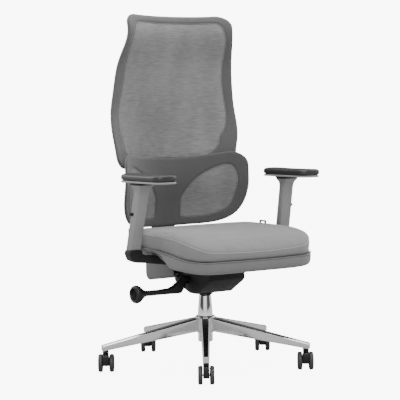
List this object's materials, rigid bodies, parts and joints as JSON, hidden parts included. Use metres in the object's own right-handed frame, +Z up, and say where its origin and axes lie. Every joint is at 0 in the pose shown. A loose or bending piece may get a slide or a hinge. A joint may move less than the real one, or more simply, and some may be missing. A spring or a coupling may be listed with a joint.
{
  "type": "mesh task chair",
  "caption": "High-back mesh office chair with reclining back, tilting seat, lumbar panel, adjustable arms, gas lift and star base on casters.",
  "frame": {"origin": "on the gas lift's axis at floor level", "axes": "+Z up, -Y the way the sitter faces, +X to the sitter's left"},
  "size_m": [0.7282, 0.7101, 1.18],
  "materials": {
    "polished_aluminium": "polished",
    "steel": "machined",
    "spring_steel": "oiled",
    "lift_paint": "bright chrome plate",
    "bush_plastic": "plain",
    "black_plastic": "fine grain",
    "caster_tread": "smooth tread",
    "black_casting": "powder coat",
    "spine_paint": "fine grain",
    "grey_plastic": "fine grain",
    "pan_plastic": "covered in the seat's grey knit",
    "pad_foam": "soft skin",
    "seat_fabric": "knit",
    "frame_fabric": "knit sleeve over a moulded frame",
    "mesh": "ribbed elastic mesh"
  },
  "bodies": {
    "base": {"star_base": "polished_aluminium", "caster_stems": "steel", "column_tube": "lift_paint", "guide_bush": "bush_plastic", "thrust_bearing": "steel"},
    "caster_0": {"caster_0_hood": "black_plastic", "caster_0_axle": "steel"},
    "wheel_0_left": {"caster_0_wheel_left": "caster_tread"},
    "wheel_0_right": {"caster_0_wheel_right": "caster_tread"},
    "caster_1": {"caster_1_hood": "black_plastic", "caster_1_axle": "steel"},
    "wheel_1_left": {"caster_1_wheel_left": "caster_tread"},
    "wheel_1_right": {"caster_1_wheel_right": "caster_tread"},
    "caster_2": {"caster_2_hood": "black_plastic", "caster_2_axle": "steel"},
    "wheel_2_left": {"caster_2_wheel_left": "caster_tread"},
    "wheel_2_right": {"caster_2_wheel_right": "caster_tread"},
    "caster_3": {"caster_3_hood": "black_plastic", "caster_3_axle": "steel"},
    "wheel_3_left": {"caster_3_wheel_left": "caster_tread"},
    "wheel_3_right": {"caster_3_wheel_right": "caster_tread"},
    "caster_4": {"caster_4_hood": "black_plastic", "caster_4_axle": "steel"},
    "wheel_4_left": {"caster_4_wheel_left": "caster_tread"},
    "wheel_4_right": {"caster_4_wheel_right": "caster_tread"},
    "lift_rod": {"piston_rod": "steel"},
    "mechanism": {"pressure_tube": "lift_paint", "mechanism_housing": "black_casting", "seat_axle": "steel", "tilt_axle": "steel", "tilt_spring": "spring_steel", "lever_pivot": "steel"},
    "release_pin": {"release_pin": "steel"},
    "lever": {"control_lever": "black_plastic"},
    "knob": {"tension_knob": "black_plastic"},
    "seat": {"seat_plate": "black_casting", "seat_pan": "pan_plastic", "seat_cushion": "seat_fabric", "arm_bracket_left": "black_casting", "arm_bracket_right": "black_casting", "arm_upright_left": "steel", "arm_upright_right": "steel"},
    "back": {"back_bracket": "spine_paint", "spine_cover": "grey_plastic", "back_frame": "frame_fabric", "back_mesh": "mesh", "lumbar_hinge": "steel"},
    "lumbar": {"lumbar_panel": "frame_fabric", "lumbar_mesh": "mesh", "lumbar_knuckle": "black_plastic"},
    "arm_left": {"arm_sleeve_left": "grey_plastic"},
    "button_left": {"arm_button_left": "black_plastic"},
    "pad_carriage_left": {"pad_slider_left": "black_plastic"},
    "pad_left": {"pad_tray_left": "grey_plastic", "arm_pad_left": "pad_foam"},
    "arm_right": {"arm_sleeve_right": "grey_plastic"},
    "button_right": {"arm_button_right": "black_plastic"},
    "pad_carriage_right": {"pad_slider_right": "black_plastic"},
    "pad_right": {"pad_tray_right": "grey_plastic", "arm_pad_right": "pad_foam"}
  },
  "joints": [
    {"name": "caster_0_swivel", "type": "hinge", "parent": "base", "child": "caster_0", "pos_m": [0.3262, 0.11232, 0.057], "axis": [0, 0, 1], "continuous": true},
    {"name": "wheel_0_left_spin", "type": "hinge", "parent": "caster_0", "child": "wheel_0_left", "pos_m": [0.33825, 0.12952, 0.03], "axis": [0.8192, -0.5736, 0], "continuous": true},
    {"name": "wheel_0_right_spin", "type": "hinge", "parent": "caster_0", "child": "wheel_0_right", "pos_m": [0.33825, 0.12952, 0.03], "axis": [0.8192, -0.5736, 0], "continuous": true},
    {"name": "caster_1_swivel", "type": "hinge", "parent": "base", "child": "caster_1", "pos_m": [-0.00602, 0.34495, 0.057], "axis": [0, 0, 1], "continuous": true},
    {"name": "wheel_1_left_spin", "type": "hinge", "parent": "caster_1", "child": "wheel_1_left", "pos_m": [0.00602, 0.36215, 0.03], "axis": [0.8192, -0.5736, 0], "continuous": true},
    {"name": "wheel_1_right_spin", "type": "hinge", "parent": "caster_1", "child": "wheel_1_right", "pos_m": [0.00602, 0.36215, 0.03], "axis": [0.8192, -0.5736, 0], "continuous": true},
    {"name": "caster_2_swivel", "type": "hinge", "parent": "base", "child": "caster_2", "pos_m": [-0.32993, 0.10087, 0.057], "axis": [0, 0, 1], "continuous": true},
    {"name": "wheel_2_left_spin", "type": "hinge", "parent": "caster_2", "child": "wheel_2_left", "pos_m": [-0.31788, 0.11807, 0.03], "axis": [0.8192, -0.5736, 0], "continuous": true},
    {"name": "wheel_2_right_spin", "type": "hinge", "parent": "caster_2", "child": "wheel_2_right", "pos_m": [-0.31788, 0.11807, 0.03], "axis": [0.8192, -0.5736, 0], "continuous": true},
    {"name": "caster_3_swivel", "type": "hinge", "parent": "base", "child": "caster_3", "pos_m": [-0.19788, -0.28261, 0.057], "axis": [0, 0, 1], "continuous": true},
    {"name": "wheel_3_left_spin", "type": "hinge", "parent": "caster_3", "child": "wheel_3_left", "pos_m": [-0.18584, -0.26541, 0.03], "axis": [0.8192, -0.5736, 0], "continuous": true},
    {"name": "wheel_3_right_spin", "type": "hinge", "parent": "caster_3", "child": "wheel_3_right", "pos_m": [-0.18584, -0.26541, 0.03], "axis": [0.8192, -0.5736, 0], "continuous": true},
    {"name": "caster_4_swivel", "type": "hinge", "parent": "base", "child": "caster_4", "pos_m": [0.20763, -0.27553, 0.057], "axis": [0, 0, 1], "continuous": true},
    {"name": "wheel_4_left_spin", "type": "hinge", "parent": "caster_4", "child": "wheel_4_left", "pos_m": [0.21967, -0.25833, 0.03], "axis": [0.8192, -0.5736, 0], "continuous": true},
    {"name": "wheel_4_right_spin", "type": "hinge", "parent": "caster_4", "child": "wheel_4_right", "pos_m": [0.21967, -0.25833, 0.03], "axis": [0.8192, -0.5736, 0], "continuous": true},
    {"name": "seat_swivel", "type": "hinge", "parent": "base", "child": "lift_rod", "pos_m": [0, 0, 0.15], "axis": [0, 0, 1], "continuous": true},
    {"name": "seat_height", "type": "slide", "parent": "lift_rod", "child": "mechanism", "axis": [0, 0, 1], "range_m": [0, 0.1]},
    {"name": "lever_lift", "type": "hinge", "parent": "mechanism", "child": "lever", "pos_m": [-0.06, 0, 0.298], "axis": [0, 1, 0], "range_deg": [0, 4]},
    {"name": "release_press", "type": "slide", "parent": "mechanism", "child": "release_pin", "axis": [0, 0, -1], "range_m": [0, 0.0045], "stiffness_N_per_m": 300, "springref_m": -0.003},
    {"name": "knob_turn", "type": "hinge", "parent": "lever", "child": "knob", "pos_m": [-0.232, 0, 0.265], "axis": [-1, 0, 0], "range_deg": [0, 720]},
    {"name": "back_recline", "type": "hinge", "parent": "mechanism", "child": "back", "pos_m": [0, 0.045, 0.3], "axis": [-1, 0, 0], "range_deg": [0, 21], "stiffness_Nm_per_rad": 70, "springref_deg": -34.38},
    {"name": "seat_tilt", "type": "hinge", "parent": "mechanism", "child": "seat", "pos_m": [0, -0.105, 0.336], "axis": [-1, 0, 0], "range_deg": [0, 7]},
    {"name": "lumbar_tilt", "type": "hinge", "parent": "back", "child": "lumbar", "pos_m": [0, 0.239, 0.585], "axis": [1, 0, 0], "range_deg": [-4, 2], "stiffness_Nm_per_rad": 30},
    {"name": "arm_height_left", "type": "slide", "parent": "seat", "child": "arm_left", "axis": [-0.0431, -0.2061, 0.9776], "range_m": [0, 0.07]},
    {"name": "button_press_left", "type": "slide", "parent": "arm_left", "child": "button_left", "axis": [-0.9991, 0.0045, -0.0431], "range_m": [0, 0.0025], "stiffness_N_per_m": 400, "springref_m": -0.001},
    {"name": "pad_slide_left", "type": "slide", "parent": "arm_left", "child": "pad_carriage_left", "axis": [0, -1, 0], "range_m": [-0.02, 0.03]},
    {"name": "pad_swivel_left", "type": "hinge", "parent": "pad_carriage_left", "child": "pad_left", "pos_m": [0.292, -0.076, 0.63], "axis": [0, 0, 1], "range_deg": [-15, 15]},
    {"name": "arm_height_right", "type": "slide", "parent": "seat", "child": "arm_right", "axis": [0.0431, -0.2061, 0.9776], "range_m": [0, 0.07]},
    {"name": "button_press_right", "type": "slide", "parent": "arm_right", "child": "button_right", "axis": [0.9991, 0.0045, -0.0431], "range_m": [0, 0.0025], "stiffness_N_per_m": 400, "springref_m": -0.001},
    {"name": "pad_slide_right", "type": "slide", "parent": "arm_right", "child": "pad_carriage_right", "axis": [0, -1, 0], "range_m": [-0.02, 0.03]},
    {"name": "pad_swivel_right", "type": "hinge", "parent": "pad_carriage_right", "child": "pad_right", "pos_m": [-0.292, -0.076, 0.63], "axis": [0, 0, 1], "range_deg": [-15, 15]}
  ],
  "couplings": [
    {"joint": "release_press", "follows": "lever_lift", "m_per_rad": 0.0602},
    {"joint": "seat_tilt", "follows": "back_recline", "ratio": 0.33333}
  ]
}
